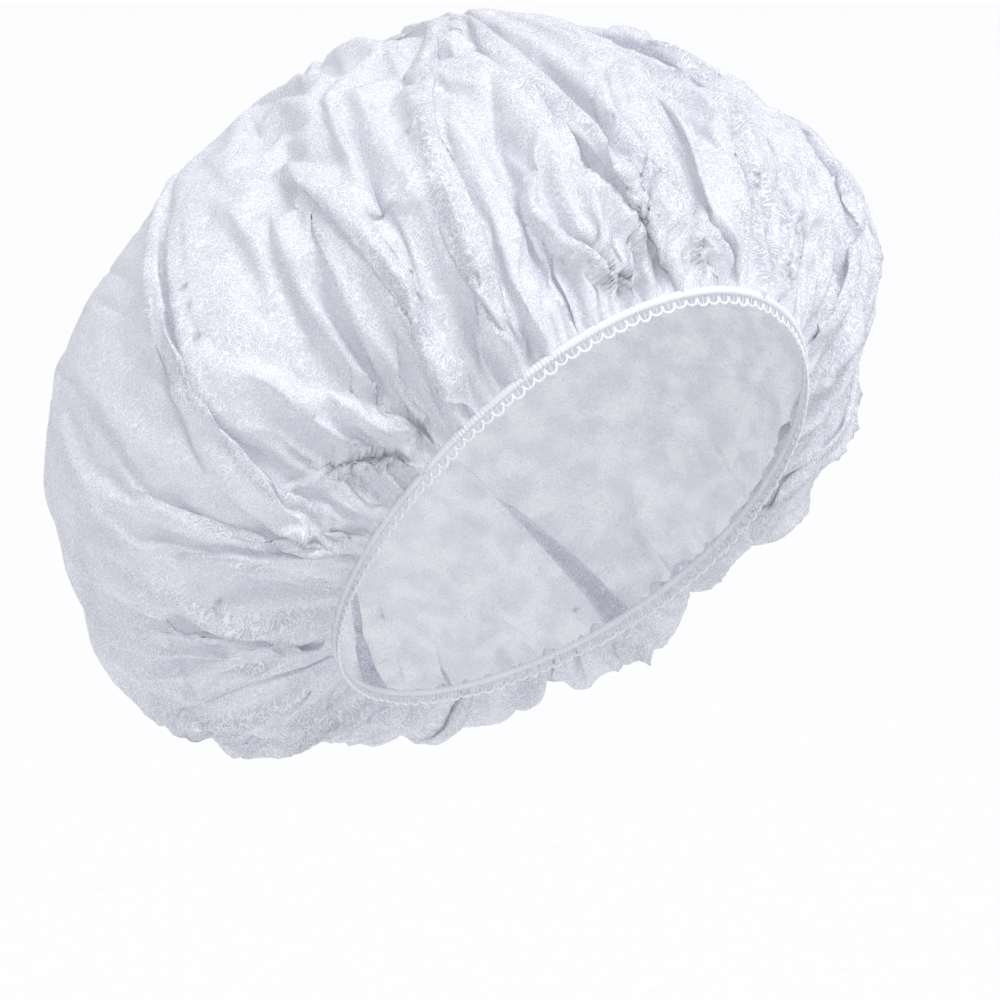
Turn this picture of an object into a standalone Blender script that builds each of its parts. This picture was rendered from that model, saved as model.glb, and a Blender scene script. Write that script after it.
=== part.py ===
"""A disposable bouffant cap: a round of thin cloth gathered onto an elastic band.

The origin is the middle of the band's opening, -Y is the front, +Z is up and +X is the left as worn.
Angles around the band start at the front and grow toward the left.
"""
import math
from collections import namedtuple

import bpy
import numpy as np

# Elastic opening
BAND_LENGTH = 0.206
BAND_WIDTH = 0.148
BAND_TILT = math.radians(43.6)
BAND_BOW = 0.006
EDGE_LEAN_FRONT = math.radians(12.7)
EDGE_LEAN_NAPE = math.radians(45.0)

# Bag of cloth
CROWN_WIDTH = 0.278
CROWN_LENGTH = 0.300
CROWN_HEIGHT = 0.268
CROWN_BACK = 0.040
CROWN_UP = 0.016
TOP_LEAN = math.radians(40.0)
REACH_FRONT = 0.22
REACH_SIDE = 0.26
REACH_NAPE = 0.12
REACH_POWER = 1.3
PUFF_SPREAD = math.radians(17.0)

# Cloth and its relief
WALL = 0.0016
NECK = 0.002
GATHER_DEPTH = 0.0019
GATHER_COUNT = 56
GATHER_REACH = 0.25
GATHER_RISE = 0.05
RIM_GATHER_SHARE = 0.30
FOLD_HEIGHT = 0.0115
FOLD_WIDTH = math.radians(10.0)
TROUGH_SHARE = 0.5
TROUGH_PLACE = 1.25
TROUGH_SPREAD = 0.45
FOLD_RISE = 0.09
FOLD_LEAD = 0.12
FOLD_SWELL = 0.30
FOLD_OVERRUN = 1.05
FOLD_FALL = 0.60
CRUMPLE_DEPTH = 0.0020

# Band and edging
ELASTIC_WIDTH = 0.0026
ELASTIC_THICKNESS = 0.0020
ELASTIC_STEPS = 66
ELASTIC_SIDES = 6
EDGING_WIDTH = 0.0033
EDGING_THICKNESS = 0.0010
SCALLOP_DEPTH = 0.0017
SCALLOP_COUNT = 132
SCALLOP_STEPS = 3
PIECE_GAP = 0.0003
SHARP_ANGLE = math.radians(55.0)
ANGLE_STEP = 0.003

# Rows of the crown, as shares of the way from the band to the top
FINE_ROWS = (0.014, 0.032, 0.055, 0.085, 0.120, 0.160, 0.205, 0.255, 0.310, 0.370, 0.435, 0.505, 0.580)
MIDDLE_ROWS = (0.660, 0.740, 0.820)
TOP_ROWS = (0.900, 0.960)

# Swellings and hollows of the bag. Angles are in degrees, height is a share of the local radius.
Puff = namedtuple("Puff", "around raised height spread")
PUFFS = (
    Puff(54, 4, -0.120, 1.0),
    Puff(57, 26, 0.070, 1.0),
    Puff(65, 58, 0.012, 1.0),
    Puff(160, 84, 0.022, 1.0),
    Puff(137, 57, -0.030, 1.0),
    Puff(130, 38, -0.055, 1.0),
    Puff(126, 0, 0.015, 1.0),
    Puff(118, -50, 0.090, 1.0),
    Puff(110, -68, 0.160, 1.0),
    Puff(0, 20, 0.070, 1.5),
)

# Long folds. Angles are in degrees, low and high are shares of the way to the top, height and width
# are shares of FOLD_HEIGHT and FOLD_WIDTH, and lean steepens the side toward smaller angles.
Fold = namedtuple("Fold", "at_band at_top bow low high height width lean")
FOLDS = (
    Fold(-45, -18, -14, 0.00, 0.66, 0.85, 0.95, 0.3),
    Fold(-59, -70, 2, 0.00, 0.44, 0.80, 0.75, -0.4),
    Fold(-68, -84, 0, 0.00, 0.27, 0.55, 0.60, 0.0),
    Fold(-92, -87, 2, 0.12, 0.60, 0.90, 0.95, 0.5),
    Fold(-71, -95, 0, 0.00, 0.16, 0.45, 0.50, 0.0),
    Fold(-92, -103, -2, 0.00, 0.28, 0.60, 0.65, 0.3),
    Fold(-99, -110, 2, 0.00, 0.24, 0.45, 0.55, 0.0),
    Fold(-114, -109, -3, 0.00, 0.21, 0.45, 0.60, 0.0),
    Fold(-127, -112, 0, 0.00, 0.21, 0.55, 0.70, 0.3),
    Fold(-143, -136, 0, 0.00, 0.30, 0.60, 0.80, 0.0),
    Fold(-9, -17, -12, 0.00, 0.64, 0.85, 1.00, -0.3),
    Fold(3, 8, -16, 0.00, 0.42, 0.70, 0.75, 0.2),
    Fold(-18, -28, -8, 0.00, 0.25, 0.50, 0.60, 0.0),
    Fold(8, 4, 0, 0.00, 0.14, 0.35, 0.50, 0.0),
    Fold(23, 38, 0, 0.00, 0.22, 0.50, 0.70, 0.0),
    Fold(47, 57, -2, 0.00, 0.30, 0.75, 0.85, -0.4),
    Fold(20, 38, -6, 0.16, 0.58, 0.70, 0.90, 0.0),
    Fold(62, 72, 3, 0.00, 0.44, 0.75, 0.85, 0.3),
    Fold(78, 84, -4, 0.00, 0.30, 0.55, 0.65, 0.0),
    Fold(92, 88, 3, 0.08, 0.56, 0.80, 0.95, -0.4),
    Fold(104, 112, -3, 0.00, 0.28, 0.55, 0.70, 0.0),
    Fold(119, 113, 4, 0.00, 0.24, 0.45, 0.65, 0.3),
    Fold(133, 146, -4, 0.00, 0.50, 0.75, 0.95, 0.0),
    Fold(150, 157, 3, 0.00, 0.28, 0.50, 0.70, 0.0),
    Fold(167, 160, 4, 0.00, 0.54, 0.75, 0.95, 0.3),
    Fold(182, 188, -3, 0.00, 0.30, 0.50, 0.70, 0.0),
    Fold(196, 206, 3, 0.00, 0.52, 0.75, 0.95, -0.3),
    Fold(212, 206, -3, 0.00, 0.26, 0.45, 0.65, 0.0),
)

# Waves that make the small pleats uneven: whole turns round the band, phase and size as a share.
Wave = namedtuple("Wave", "turns shift size")
REACH_WAVES = (Wave(7, 1.0, 0.20), Wave(13, 2.0, 0.16))
DEPTH_WAVES = (Wave(11, 0.6, 0.25), Wave(23, 0.0, 0.15))

# Broad creases that cross the bag slantwise: whole turns round it, lean up it and phase.
Dent = namedtuple("Dent", "turns climb shift")
DENTS = (Dent(4, 9, 0.4), Dent(3, -12, 1.7), Dent(7, 15, 2.9))
DENT_START = 0.05
DENT_FADE = 0.18

AXIS_X = np.array([1.0, 0.0, 0.0])
CENTRE = np.array([0.0, CROWN_BACK, CROWN_UP])
TOP = np.array([0.0, math.sin(TOP_LEAN), math.cos(TOP_LEAN)])


def unit(vectors):
    return vectors / np.linalg.norm(vectors, axis=-1, keepdims=True)


def band_line(around):
    """Points on the middle line between the elastic and the edging."""
    along = np.array([0.0, math.cos(BAND_TILT), -math.sin(BAND_TILT)])
    raised = np.array([0.0, math.sin(BAND_TILT), math.cos(BAND_TILT)])
    sine = np.sin(around)[..., None]
    cosine = np.cos(around)[..., None]
    return (sine * BAND_WIDTH / 2 * AXIS_X
            - cosine * BAND_LENGTH / 2 * along
            - BAND_BOW * sine ** 2 * raised)


def band_frame(around):
    """Direction toward the scallops and direction out of the ring, at each angle."""
    step = ANGLE_STEP
    tangent = unit(band_line(around + step) - band_line(around - step))
    backward = ((1 - np.cos(around)) / 2) ** 2
    lean = EDGE_LEAN_FRONT + (EDGE_LEAN_NAPE - EDGE_LEAN_FRONT) * backward
    hang = np.stack([np.zeros(np.shape(lean)), -np.sin(lean), -np.cos(lean)], axis=-1)
    down = unit(hang - np.sum(tangent * hang, axis=-1, keepdims=True) * tangent)
    out = np.cross(down, tangent)
    return down, out


def even_angles(count):
    """Angles that divide the band line into equal lengths."""
    fine = np.arange(0.0, 2 * math.pi + ANGLE_STEP, ANGLE_STEP)
    fine = fine * 2 * math.pi / fine[-1]
    points = band_line(fine)
    length = np.concatenate([[0.0], np.cumsum(np.linalg.norm(np.diff(points, axis=0), axis=1))])
    return np.interp(np.arange(count) / count * length[-1], length, fine)


def cloth_start(around):
    """Line where the cloth leaves its short straight neck above the elastic."""
    down, out = band_frame(around)
    return band_line(around) - down * (PIECE_GAP + ELASTIC_WIDTH + PIECE_GAP + NECK)


def bag_radius(directions):
    half = np.array([CROWN_WIDTH, CROWN_LENGTH, CROWN_HEIGHT]) / 2
    return np.linalg.norm(directions / half, axis=-1) ** -1


def puff_factor(directions):
    """Swelling of the bag in each direction, the same on both sides."""
    mirrored = directions.copy()
    mirrored[..., 0] = np.abs(mirrored[..., 0])
    total = np.zeros(directions.shape[:-1])
    for puff in PUFFS:
        around = math.radians(puff.around)
        raised = math.radians(puff.raised)
        middle = np.array([math.sin(around) * math.cos(raised),
                           -math.cos(around) * math.cos(raised),
                           math.sin(raised)])
        angle = np.arccos(np.clip(mirrored @ middle, -1.0, 1.0))
        total += np.log1p(puff.height * np.exp(-(angle / (PUFF_SPREAD * puff.spread)) ** 2))
    return np.expm1(total)


def bag(around, share):
    """Smooth bag without folds. Share runs from 0 at the band to 1 at the top."""
    start = cloth_start(around) - CENTRE
    start_radius = np.linalg.norm(start, axis=-1)
    start_direction = start / start_radius[..., None]
    sweep = np.arccos(np.clip(start_direction @ TOP, -1.0, 1.0))
    low = (np.sin((1 - share) * sweep) / np.sin(sweep))[..., None]
    high = (np.sin(share * sweep) / np.sin(sweep))[..., None]
    direction = low * start_direction + high * TOP
    cosine = np.cos(around)
    reach = (REACH_SIDE + (REACH_FRONT - REACH_NAPE) / 2 * cosine
             + ((REACH_FRONT + REACH_NAPE) / 2 - REACH_SIDE) * cosine ** 2)
    pinch = np.clip(1 - share / reach, 0.0, 1.0) ** REACH_POWER
    shortfall = 1 - start_radius / bag_radius(start_direction)
    radius = bag_radius(direction) * (1 - shortfall * pinch)
    radius = radius * (1 + (1 - pinch) * puff_factor(direction))
    return CENTRE + direction * radius[..., None]


def smooth_step(values):
    held = np.clip(values, 0.0, 1.0)
    return held * held * (3 - 2 * held)


def bag_normal(around, share):
    """Outward direction of the smooth bag."""
    step = ANGLE_STEP
    held = np.clip(share, step, 1 - 2 * step)
    across = bag(around + step, held) - bag(around - step, held)
    upward = bag(around, held + step) - bag(around, held - step)
    return unit(np.cross(across, upward))


def bend_normal(around, share):
    """Offset direction at the bend between the neck and the bag, long enough to keep the wall."""
    down, out = band_frame(around)
    middle = unit(out + bag_normal(around, share))
    return middle / np.sum(middle * out, axis=-1, keepdims=True)


def wave_sum(around, waves):
    return sum(wave.size * np.sin(wave.turns * around + wave.shift) for wave in waves)


def gather_relief(around, share, phase):
    """Small pleats that leave the elastic and die away up the cloth."""
    reach = GATHER_REACH * (1 + wave_sum(around, REACH_WAVES))
    uneven = 1 + wave_sum(around, DEPTH_WAVES)
    rise = RIM_GATHER_SHARE + (1 - RIM_GATHER_SHARE) * smooth_step(share / GATHER_RISE)
    fall = smooth_step((reach - share) / reach)
    return GATHER_DEPTH * uneven * rise * fall * phase


def fold_relief(around, share):
    """Long charted folds, each a ridge with a shallow trough on both sides."""
    total = np.zeros(np.shape(share))
    for fold in FOLDS:
        travel = (share - fold.low) / (fold.high - fold.low)
        held = np.clip(travel, 0.0, 1.0)
        middle = fold.at_band + (fold.at_top - fold.at_band) * held + fold.bow * np.sin(math.pi * held)
        offset = (around - np.radians(middle) + math.pi) % (2 * math.pi) - math.pi
        across = np.abs(offset) / (FOLD_WIDTH * fold.width * (1 + fold.lean * np.sign(offset)))
        trough = np.exp(-((across - TROUGH_PLACE) / TROUGH_SPREAD) ** 2)
        ridge = np.clip(1 - across, 0.0, 1.0) - TROUGH_SHARE * trough
        along = smooth_step((travel + FOLD_LEAD) / FOLD_SWELL)
        along *= smooth_step((FOLD_OVERRUN - travel) / FOLD_FALL)
        total += FOLD_HEIGHT * fold.height * ridge * along * smooth_step(share / FOLD_RISE)
    return total


def crumple_relief(around, share):
    """Broad uneven dents all over the bag."""
    dents = sum(np.abs(np.sin(dent.turns * around + dent.climb * share + dent.shift)) for dent in DENTS)
    wave = dents - len(DENTS) * 2 / math.pi
    low_fade = smooth_step((share - DENT_START) / DENT_FADE)
    top_fade = smooth_step((1 - share) / DENT_FADE)
    return CRUMPLE_DEPTH * wave * low_fade * top_fade


def cloth_skins(around, share, phase, normal_of=bag_normal):
    """Outer and inner points of the cloth wall."""
    around, share = np.broadcast_arrays(np.asarray(around, float), np.asarray(share, float))
    relief = (gather_relief(around, share, phase) + fold_relief(around, share)
              + crumple_relief(around, share))
    surface = bag(around, share)
    normal = normal_of(around, share)
    outer = surface + normal * (relief + WALL / 2)[..., None]
    inner = surface + normal * (relief - WALL / 2)[..., None]
    return outer, inner


def make_object(name, points, faces, colour, roughness):
    mesh = bpy.data.meshes.new(name)
    mesh.from_pydata([tuple(point) for point in points], [], faces)
    mesh.validate()
    mesh.shade_smooth()
    mesh.set_sharp_from_angle(angle=SHARP_ANGLE)
    material = bpy.data.materials.new(name + "_material")
    material.use_nodes = True
    shader = material.node_tree.nodes["Principled BSDF"]
    shader.inputs["Base Color"].default_value = colour
    shader.inputs["Roughness"].default_value = roughness
    mesh.materials.append(material)
    item = bpy.data.objects.new(name, mesh)
    bpy.context.scene.collection.objects.link(item)
    return item


def row_faces(lower, upper):
    """Faces between two rows of point numbers. The upper row has as many points or half as many."""
    faces = []
    count = len(lower)
    if len(upper) == count:
        for column in range(count):
            ahead = (column + 1) % count
            faces.append((lower[column], lower[ahead], upper[ahead], upper[column]))
        return faces
    for column in range(len(upper)):
        ahead = (column + 1) % len(upper)
        first = lower[2 * column]
        middle = lower[2 * column + 1]
        last = lower[(2 * column + 2) % count]
        faces.append((first, middle, upper[column]))
        faces.append((middle, upper[ahead], upper[column]))
        faces.append((middle, last, upper[ahead]))
    return faces


def make_crown():
    """Gathered bag: two skins of rows from rim to top, joined by a strip round the rim."""
    columns = 2 * GATHER_COUNT
    around = even_angles(columns)
    phase = np.where(np.arange(columns) % 2 == 0, 1.0, -1.0)
    down, out = band_frame(around)
    outer, inner = cloth_skins(around, 0.0, phase, lambda angle, share: band_frame(angle)[1])
    outer_rows = [outer + down * NECK]
    inner_rows = [inner + down * NECK]
    outer, inner = cloth_skins(around, 0.0, phase, bend_normal)
    outer_rows.append(outer)
    inner_rows.append(inner)
    for shares, keep in ((FINE_ROWS, 1), (MIDDLE_ROWS, 2), (TOP_ROWS, 4)):
        for share in shares:
            outer, inner = cloth_skins(around[::keep], share, phase[::keep])
            outer_rows.append(outer)
            inner_rows.append(inner)
    outer, inner = cloth_skins(around[::4], 1.0, phase[::4])
    outer_rows.append(outer.mean(axis=0, keepdims=True))
    inner_rows.append(inner.mean(axis=0, keepdims=True))

    points = []
    skins = []
    for rows in (outer_rows, inner_rows):
        numbered = []
        for row in rows:
            numbered.append(list(range(len(points), len(points) + len(row))))
            points.extend(row)
        skins.append(numbered)
    faces = []
    for numbered, turned in zip(skins, (False, True)):
        skin = []
        for lower, upper in zip(numbered[:-2], numbered[1:-1]):
            skin.extend(row_faces(lower, upper))
        last = numbered[-2]
        tip = numbered[-1][0]
        for column in range(len(last)):
            skin.append((last[column], last[(column + 1) % len(last)], tip))
        faces.extend(tuple(reversed(face)) if turned else face for face in skin)
    faces.extend(row_faces(skins[1][0], skins[0][0]))
    return make_object("crown", points, faces, (0.78, 0.78, 0.86, 1.0), 0.75)


def make_loop(name, around, sections, colour, roughness):
    """Closed ring through sections, each a list of (down, out) offsets from the band line."""
    down, out = band_frame(around)
    line = band_line(around)
    points = []
    for column, section in enumerate(sections):
        for drop, push in section:
            points.append(line[column] + down[column] * drop + out[column] * push)
    sides = len(sections[0])
    faces = []
    for column in range(len(sections)):
        here = column * sides
        ahead = (column + 1) % len(sections) * sides
        for side in range(sides):
            beside = (side + 1) % sides
            faces.append((here + side, here + beside, ahead + beside, ahead + side))
    return make_object(name, points, faces, colour, roughness)


def make_elastic_band():
    """Raised hem line: an oval bead just above the band line."""
    section = []
    for side in range(ELASTIC_SIDES):
        turn = -2 * math.pi * (side + 0.5) / ELASTIC_SIDES
        section.append((-PIECE_GAP - ELASTIC_WIDTH / 2 + ELASTIC_WIDTH / 2 * math.cos(turn),
                        ELASTIC_THICKNESS / 2 * math.sin(turn)))
    around = even_angles(ELASTIC_STEPS)
    return make_loop("elastic_band", around, [section] * ELASTIC_STEPS, (0.83, 0.83, 0.88, 1.0), 0.45)


def make_scalloped_edge():
    """Thin strip with a straight upper edge and a scalloped lower edge."""
    count = SCALLOP_COUNT * SCALLOP_STEPS
    half = EDGING_THICKNESS / 2
    sections = []
    for column in range(count):
        drop = EDGING_WIDTH - (SCALLOP_DEPTH if column % SCALLOP_STEPS == 0 else 0.0)
        sections.append([(0.0, half), (drop, half), (drop, -half), (0.0, -half)])
    return make_loop("scalloped_edge", even_angles(count), sections, (0.80, 0.80, 0.86, 1.0), 0.40)


def main():
    for item in list(bpy.data.objects):
        bpy.data.objects.remove(item, do_unlink=True)
    make_crown()
    make_elastic_band()
    make_scalloped_edge()


main()
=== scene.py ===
"""Bouffant cap: the visible cloth, elastic hem and looped edging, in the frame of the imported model.

Metres throughout. -Y is the front, +Z is up, +X is the left as worn. Angles round the band start at
the front and grow toward the left.
"""

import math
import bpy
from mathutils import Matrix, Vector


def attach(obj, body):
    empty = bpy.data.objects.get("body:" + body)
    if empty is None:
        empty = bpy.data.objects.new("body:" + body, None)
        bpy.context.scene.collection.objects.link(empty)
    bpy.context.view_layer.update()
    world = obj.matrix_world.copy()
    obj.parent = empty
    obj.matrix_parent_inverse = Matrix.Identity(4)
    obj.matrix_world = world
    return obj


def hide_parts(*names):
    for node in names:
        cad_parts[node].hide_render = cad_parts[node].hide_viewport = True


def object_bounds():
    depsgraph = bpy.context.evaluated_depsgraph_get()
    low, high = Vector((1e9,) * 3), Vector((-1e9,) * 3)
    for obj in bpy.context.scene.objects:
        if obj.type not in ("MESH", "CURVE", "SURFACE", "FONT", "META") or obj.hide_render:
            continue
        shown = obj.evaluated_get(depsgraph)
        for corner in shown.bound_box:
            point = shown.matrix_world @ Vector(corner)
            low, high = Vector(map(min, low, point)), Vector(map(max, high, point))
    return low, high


bl_info = {
    "name": "Bouffant Cap",
    "version": (1, 0, 0),
    "blender": (4, 5, 0),
    "location": "3D Viewport > Sidebar > Bouffant Cap",
    "description": "Makes a gathered nonwoven cap with an elastic hem and a looped edging",
    "category": "Object",
}

from collections import namedtuple

import bpy
import numpy as np
from bpy.props import FloatProperty, FloatVectorProperty, IntProperty, PointerProperty
from mathutils import Vector

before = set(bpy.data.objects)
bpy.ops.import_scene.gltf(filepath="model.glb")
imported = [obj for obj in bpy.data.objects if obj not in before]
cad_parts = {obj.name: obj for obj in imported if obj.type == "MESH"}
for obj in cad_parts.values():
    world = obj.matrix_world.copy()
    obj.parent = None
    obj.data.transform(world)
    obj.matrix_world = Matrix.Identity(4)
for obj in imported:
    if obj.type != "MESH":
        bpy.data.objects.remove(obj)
CAD_BOX = [list(corner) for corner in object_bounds()]

# Elastic opening
BAND_LENGTH = 0.206
BAND_WIDTH = 0.148
BAND_TILT = math.radians(43.6)
BAND_BOW = 0.006
EDGE_LEAN_FRONT = math.radians(12.7)
EDGE_LEAN_NAPE = math.radians(45.0)

# Bag of cloth
CROWN_WIDTH = 0.278
CROWN_LENGTH = 0.300
CROWN_HEIGHT = 0.268
CROWN_BACK = 0.040
CROWN_UP = 0.016
TOP_LEAN = math.radians(40.0)
REACH_FRONT = 0.22
REACH_SIDE = 0.26
REACH_NAPE = 0.12
REACH_POWER = 1.3
PUFF_SPREAD = math.radians(17.0)
FOLD_HEIGHT = 0.0115
FOLD_WIDTH = math.radians(10.0)
TROUGH_SHARE = 0.5
TROUGH_PLACE = 1.25
TROUGH_SPREAD = 0.45
FOLD_RISE = 0.09
FOLD_LEAD = 0.12
FOLD_SWELL = 0.30
FOLD_OVERRUN = 1.05
FOLD_FALL = 0.60
CLOTH_START = 0.0032

AXIS_X = np.array([1.0, 0.0, 0.0])
CENTRE = np.array([0.0, CROWN_BACK, CROWN_UP])
TOP = np.array([0.0, math.sin(TOP_LEAN), math.cos(TOP_LEAN)])

# Swellings and hollows of the bag. Angles are in degrees, height is a share of the local radius.
Puff = namedtuple("Puff", "around raised height spread")
PUFFS = (
    Puff(54, 4, -0.120, 1.0),
    Puff(57, 26, 0.070, 1.0),
    Puff(65, 58, 0.012, 1.0),
    Puff(160, 84, 0.022, 1.0),
    Puff(137, 57, -0.030, 1.0),
    Puff(130, 38, -0.055, 1.0),
    Puff(126, 0, 0.015, 1.0),
    Puff(118, -50, 0.090, 1.0),
    Puff(110, -68, 0.160, 1.0),
    Puff(0, 20, 0.070, 1.5),
)

# Long folds. Angles are in degrees, low and high are shares of the way to the top, height and width
# are shares of FOLD_HEIGHT and FOLD_WIDTH, and lean steepens the side toward smaller angles. In shares
# of its own length, a fold rises over FOLD_SWELL from FOLD_LEAD before its low end, and falls over
# FOLD_FALL to end at FOLD_OVERRUN.
Fold = namedtuple("Fold", "at_band at_top bow low high height width lean")
FOLDS = (
    Fold(-45, -18, -14, 0.00, 0.66, 0.85, 0.95, 0.3),
    Fold(-59, -70, 2, 0.00, 0.44, 0.80, 0.75, -0.4),
    Fold(-68, -84, 0, 0.00, 0.27, 0.55, 0.60, 0.0),
    Fold(-92, -87, 2, 0.12, 0.60, 0.90, 0.95, 0.5),
    Fold(-71, -95, 0, 0.00, 0.16, 0.45, 0.50, 0.0),
    Fold(-92, -103, -2, 0.00, 0.28, 0.60, 0.65, 0.3),
    Fold(-99, -110, 2, 0.00, 0.24, 0.45, 0.55, 0.0),
    Fold(-114, -109, -3, 0.00, 0.21, 0.45, 0.60, 0.0),
    Fold(-127, -112, 0, 0.00, 0.21, 0.55, 0.70, 0.3),
    Fold(-143, -136, 0, 0.00, 0.30, 0.60, 0.80, 0.0),
    Fold(-9, -17, -12, 0.00, 0.64, 0.85, 1.00, -0.3),
    Fold(3, 8, -16, 0.00, 0.42, 0.70, 0.75, 0.2),
    Fold(-18, -28, -8, 0.00, 0.25, 0.50, 0.60, 0.0),
    Fold(8, 4, 0, 0.00, 0.14, 0.35, 0.50, 0.0),
    Fold(23, 38, 0, 0.00, 0.22, 0.50, 0.70, 0.0),
    Fold(47, 57, -2, 0.00, 0.30, 0.75, 0.85, -0.4),
    Fold(20, 38, -6, 0.16, 0.58, 0.70, 0.90, 0.0),
    Fold(62, 72, 3, 0.00, 0.44, 0.75, 0.85, 0.3),
    Fold(78, 84, -4, 0.00, 0.30, 0.55, 0.65, 0.0),
    Fold(92, 88, 3, 0.08, 0.56, 0.80, 0.95, -0.4),
    Fold(104, 112, -3, 0.00, 0.28, 0.55, 0.70, 0.0),
    Fold(119, 113, 4, 0.00, 0.24, 0.45, 0.65, 0.3),
    Fold(133, 146, -4, 0.00, 0.50, 0.75, 0.95, 0.0),
    Fold(150, 157, 3, 0.00, 0.28, 0.50, 0.70, 0.0),
    Fold(167, 160, 4, 0.00, 0.54, 0.75, 0.95, 0.3),
    Fold(182, 188, -3, 0.00, 0.30, 0.50, 0.70, 0.0),
    Fold(196, 206, 3, 0.00, 0.52, 0.75, 0.95, -0.3),
    Fold(212, 206, -3, 0.00, 0.26, 0.45, 0.65, 0.0),
)

# Pleats: how many round the band, how far up they reach as a share of the way to the top, height and
# phase. Slow waves round the band make their spacing and their reach uneven. Each has its own count,
# height and number of times that the phase is added.
Pleat = namedtuple("Pleat", "count reach height shift")
PLEATS = (
    Pleat(118, 0.12, 0.0013, 0.3),
    Pleat(61, 0.27, 0.0019, 1.9),
    Pleat(37, 0.44, 0.0022, 4.1),
)
Wave = namedtuple("Wave", "count height turns")
SPACING_WAVES = (Wave(5, 0.9, 1), Wave(9, 0.6, 2))
REACH_WAVES = (Wave(4, 0.3, 3), Wave(11, 0.2, 1))
PLEAT_FALL = 0.7
PLEAT_RIM_SHARE = 0.6
PLEAT_RIM_RISE = 0.03

# The middle of the cut round lies behind the top of the bag, by this share of its radius.
CUT_SLIDE = np.array([-0.12, 0.0])

# Where the cloth doubles over itself. Spreads are half the width of the cloth taken up, a lift is the
# gap between two layers, and a strength is how far the layers overlap. A long fold's strength grows by
# FOLD_TUCK_GAIN times its height. A short tuck's jitter is a share of the step to the next, its drift,
# bow and spread are in degrees, and its reach is a share of the way to the top.
FOLD_TUCK_SPREAD = 0.60
FOLD_TUCK_LIFT = 0.0020
FOLD_TUCK_STRENGTH = 0.7
FOLD_TUCK_GAIN = 0.5
SMALL_TUCKS = 64
SMALL_TUCK_SEED = 5
SMALL_TUCK_LIFT = 0.0010
SMALL_TUCK_JITTER = 0.16
SMALL_TUCK_DRIFT = 1.5
SMALL_TUCK_BOW = 1.0
SMALL_TUCK_REACH = (0.10, 0.26)
SMALL_TUCK_SPREAD = (1.5, 2.2)
SMALL_TUCK_STRENGTH = (0.8, 1.1)
TUCK_OVERLAP = 1.0
TUCK_TAPER = 0.35
TUCK_OVERRUN = 1.02
TUCK_FALL = 0.55
RIM_TUCK_SHARE = 0.7
RIM_TUCK_RISE = 0.05

# Straight creases pressed into the cloth. Lengths and widths are half the crease's own, in metres.
CREASES = 170
CREASE_SEED = 11
CREASE_LENGTH = (0.014, 0.055)
CREASE_WIDTH = (0.0045, 0.0110)
CREASE_HEIGHT = (0.0006, 0.0017)
CREASE_SPREAD = 0.55
CREASE_RISE = 0.12

# Share of their reach that the pleats and short tucks lose at the nape, where the bag turns under
NAPE_CALM = 0.45

# How far the rim reaches into the hem, and the share of the pleats' height that is left there
RIM_SINK = 0.0017
RIM_RELIEF = 0.6

# Shares of the way to the top over which the outline is held, and over which the rim is marked
OUTLINE_RISE = 0.10
RIM_MARK = 0.16

# Hem and edging. Starts are how far above the middle line they begin, HEM_SECTION is the points round
# the roll and RIB_STEPS the rows of points to a rib. A stitch rises by a share of the hem's thickness.
LOOP_POINTS = 792
HEM_START = 0.0003
EDGING_START = 0.0004
HEM_SECTION = 12
RIB_STEPS = 3
RIB_HEIGHT_WAVES = (Wave(17, 0.35, 0), Wave(41, 0.25, 1))
RIB_HEIGHT_SHIFT = 1.1
RIB_SPACING_WAVES = (Wave(23, 1.4, 0),)
STITCH_SEED = 3
STITCH_RISE = 0.72
STITCH_STRETCH = (0.85, 1.15)

# Point that the camera looks at
AIM = Vector((0.0, 0.0225, 0.021))


def unit(vectors):
    return vectors / np.linalg.norm(vectors, axis=-1, keepdims=True)


def smooth_step(values):
    held = np.clip(values, 0.0, 1.0)
    return held * held * (3 - 2 * held)


def direction_to(turn, rise):
    """Unit direction that is turned from the front toward the left, and raised."""
    return (math.sin(turn) * math.cos(rise), -math.cos(turn) * math.cos(rise), math.sin(rise))


def band_line(around):
    """Points on the middle line between the elastic and the edging."""
    along = np.array([0.0, math.cos(BAND_TILT), -math.sin(BAND_TILT)])
    raised = np.array([0.0, math.sin(BAND_TILT), math.cos(BAND_TILT)])
    sine = np.sin(around)[..., None]
    cosine = np.cos(around)[..., None]
    return (sine * BAND_WIDTH / 2 * AXIS_X
            - cosine * BAND_LENGTH / 2 * along
            - BAND_BOW * sine ** 2 * raised)


def nape_share(around):
    """0 at the front, growing to 1 at the nape."""
    return ((1 - np.cos(around)) / 2) ** 2


def band_frame(around):
    """Direction toward the loops and direction out of the ring, at each angle."""
    step = 0.003
    tangent = unit(band_line(around + step) - band_line(around - step))
    lean = EDGE_LEAN_FRONT + (EDGE_LEAN_NAPE - EDGE_LEAN_FRONT) * nape_share(around)
    hang = np.stack([np.zeros(np.shape(lean)), -np.sin(lean), -np.cos(lean)], axis=-1)
    down = unit(hang - np.sum(tangent * hang, axis=-1, keepdims=True) * tangent)
    return down, np.cross(down, tangent)


def even_angles(shares):
    """Angle at each share of the band's length."""
    fine = np.linspace(0.0, 2 * math.pi, 2001)
    points = band_line(fine)
    reached = np.concatenate([[0.0], np.cumsum(np.linalg.norm(np.diff(points, axis=0), axis=1))])
    return np.interp(shares % 1.0 * reached[-1], reached, fine)


def bag_radius(directions):
    """Distance from the middle to the plain rounded bag, in each direction."""
    half = np.array([CROWN_WIDTH, CROWN_LENGTH, CROWN_HEIGHT]) / 2
    return np.linalg.norm(directions / half, axis=-1) ** -1


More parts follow.
